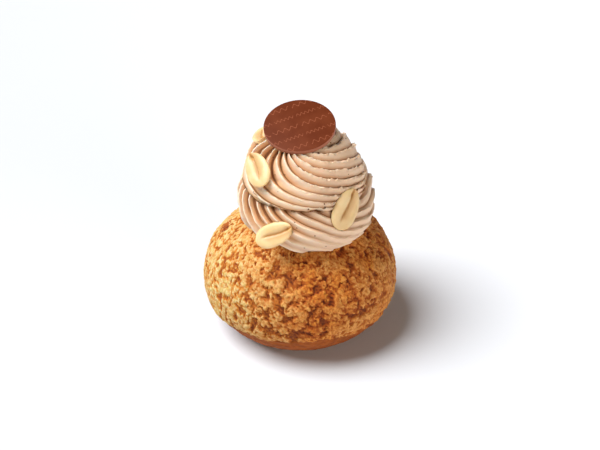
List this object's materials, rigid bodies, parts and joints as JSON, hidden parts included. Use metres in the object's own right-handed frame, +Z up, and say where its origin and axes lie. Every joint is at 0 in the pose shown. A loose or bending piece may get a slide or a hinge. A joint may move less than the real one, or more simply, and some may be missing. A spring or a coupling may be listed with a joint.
{
  "type": "cream puff",
  "caption": "Round choux bun with a crackled biscuit crust, a tall piped swirl of nut cream, peanut halves and a thin chocolate disc on top.",
  "frame": {"origin": "middle of the bun's flat base, on the surface it rests on", "axes": "+Z up through the bun and the swirl, -Y to the front, where the disc leans and most of the peanut halves are"},
  "size_m": [0.0722, 0.0726, 0.0858],
  "materials": {
    "baked_crust": "matte, crumbly baked biscuit crust over choux pastry",
    "nut_cream": "soft satin whipped peanut cream",
    "blanched_peanut": "smooth, slightly waxy blanched peanut",
    "dark_chocolate": "satin tempered chocolate"
  },
  "bodies": {
    "root": {"puff": "baked_crust", "cream": "nut_cream", "peanut_half_1": "blanched_peanut", "peanut_half_2": "blanched_peanut", "peanut_half_3": "blanched_peanut", "peanut_half_4": "blanched_peanut", "chocolate_disc": "dark_chocolate"}
  },
  "joints": []
}
